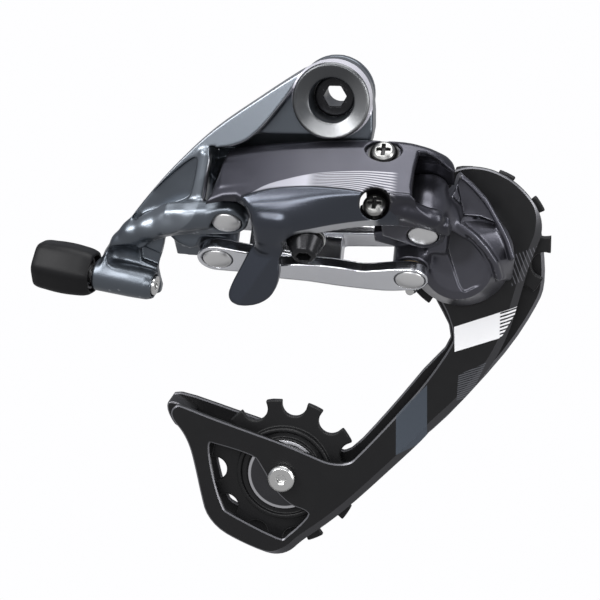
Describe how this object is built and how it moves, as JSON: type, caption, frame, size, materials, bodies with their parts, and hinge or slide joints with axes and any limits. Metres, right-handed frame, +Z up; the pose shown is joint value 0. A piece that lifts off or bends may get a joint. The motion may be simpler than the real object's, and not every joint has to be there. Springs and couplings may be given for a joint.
{
  "type": "rear bicycle derailleur",
  "caption": "Rear bicycle derailleur: slant parallelogram on a hanger bolt, sprung cage with two toothed pulleys, barrel adjuster, limit screws and cable clamp.",
  "frame": {"origin": "on the seat face that meets the bicycle frame's hanger, 7 mm straight above the hanger bolt's axis", "axes": "+Y along the hanger bolt inboard, towards the wheel; +Z up; +X towards the front of the bicycle"},
  "size_m": [0.1562, 0.0612, 0.165],
  "materials": {
    "forged_grey": "anodised dark grey, polished",
    "link_grey": "anodised dark grey, polished",
    "polished_alloy": "polished",
    "pin_steel": "satin, domed heads",
    "zinc_steel": "bright zinc",
    "black_steel": "black oxide",
    "spring_steel": "oiled spring steel",
    "bush_bronze": "sintered bronze",
    "black_plastic": "moulded, satin",
    "pulley_black": "moulded, satin",
    "cage_black": "satin black over stamped alloy"
  },
  "bodies": {
    "hanger_mount": {"hanger_bolt": "black_steel", "hanger_bushing": "bush_bronze", "hanger_retaining_ring": "spring_steel", "b_stop_plate": "black_steel"},
    "b_knuckle": {"b_knuckle": "forged_grey", "adjuster_spring": "spring_steel", "rear_outer_pin": "pin_steel", "rear_inner_bush": "bush_bronze", "return_spring": "spring_steel"},
    "b_screw": {"b_tension_screw": "black_steel"},
    "adjuster": {"barrel_adjuster": "black_plastic", "adjuster_stem": "zinc_steel"},
    "outer_link": {"outer_link": "link_grey", "rear_outer_bush": "bush_bronze", "front_outer_pin": "pin_steel", "cable_pinch_bolt": "black_steel", "cable_clamp_washer": "zinc_steel"},
    "low_screw": {"low_limit_screw": "zinc_steel"},
    "high_screw": {"high_limit_screw": "zinc_steel"},
    "inner_link": {"inner_link": "polished_alloy", "rear_inner_pin": "pin_steel", "front_inner_pin": "pin_steel"},
    "p_knuckle": {"p_knuckle": "forged_grey", "front_outer_bush": "bush_bronze", "front_inner_bush": "bush_bronze", "cage_spring": "spring_steel", "cage_seal": "black_plastic", "cage_bush": "bush_bronze"},
    "cage": {"outer_cage_plate": "cage_black", "inner_cage_plate": "cage_black", "cage_stop_pin": "zinc_steel", "cage_axle": "black_steel", "guide_pulley_bush": "bush_bronze", "guide_pulley_outer_cap": "zinc_steel", "guide_pulley_inner_cap": "zinc_steel", "guide_pulley_bolt": "zinc_steel", "tension_pulley_bush": "bush_bronze", "tension_pulley_outer_cap": "zinc_steel", "tension_pulley_inner_cap": "zinc_steel", "tension_pulley_bolt": "zinc_steel"},
    "guide_pulley": {"guide_pulley": "pulley_black"},
    "tension_pulley": {"tension_pulley": "pulley_black"}
  },
  "joints": [
    {"name": "b_pivot", "type": "hinge", "parent": "hanger_mount", "child": "b_knuckle", "pos_m": [0, 0, -0.007], "axis": [0, 1, 0], "range_deg": [0, 30]},
    {"name": "b_screw_turn", "type": "hinge", "parent": "b_knuckle", "child": "b_screw", "pos_m": [-0.0069, -0.005, -0.0222], "axis": [1, 0, 0], "continuous": true},
    {"name": "adjuster_turn", "type": "hinge", "parent": "b_knuckle", "child": "adjuster", "pos_m": [-0.091, -0.012, -0.0597], "axis": [0.9805, -0.1548, -0.1213], "continuous": true},
    {"name": "outer_link_swing", "type": "hinge", "parent": "b_knuckle", "child": "outer_link", "pos_m": [-0.031, -0.02098, -0.04462], "axis": [0, 0.7314, 0.682], "range_deg": [-3, 54]},
    {"name": "inner_link_swing", "type": "hinge", "parent": "b_knuckle", "child": "inner_link", "pos_m": [-0.0354, -0.01007, -0.05632], "axis": [0, 0.7314, 0.682], "range_deg": [-3, 54]},
    {"name": "p_knuckle_swing", "type": "hinge", "parent": "outer_link", "child": "p_knuckle", "pos_m": [0.0274, -0.01846, -0.04732], "axis": [0, 0.7314, 0.682], "range_deg": [-54, 3]},
    {"name": "low_screw_turn", "type": "hinge", "parent": "outer_link", "child": "low_screw", "pos_m": [0.0156, -0.01922, -0.02055], "axis": [0, 0.682, -0.7314], "continuous": true},
    {"name": "high_screw_turn", "type": "hinge", "parent": "outer_link", "child": "high_screw", "pos_m": [0.0138, -0.02638, -0.03502], "axis": [0, 0.682, -0.7314], "continuous": true},
    {"name": "cage_pivot", "type": "hinge", "parent": "p_knuckle", "child": "cage", "pos_m": [0.0365, 0, -0.0588], "axis": [0, -1, 0], "range_deg": [0, 100]},
    {"name": "guide_pulley_spin", "type": "hinge", "parent": "cage", "child": "guide_pulley", "pos_m": [0.0399, 0.0215, -0.0568], "axis": [0, 1, 0], "continuous": true},
    {"name": "tension_pulley_spin", "type": "hinge", "parent": "cage", "child": "tension_pulley", "pos_m": [-0.0196, 0.0215, -0.1341], "axis": [0, 1, 0], "continuous": true}
  ],
  "couplings": [
    {"joint": "inner_link_swing", "follows": "outer_link_swing", "ratio": 1},
    {"joint": "p_knuckle_swing", "follows": "outer_link_swing", "ratio": -1}
  ]
}
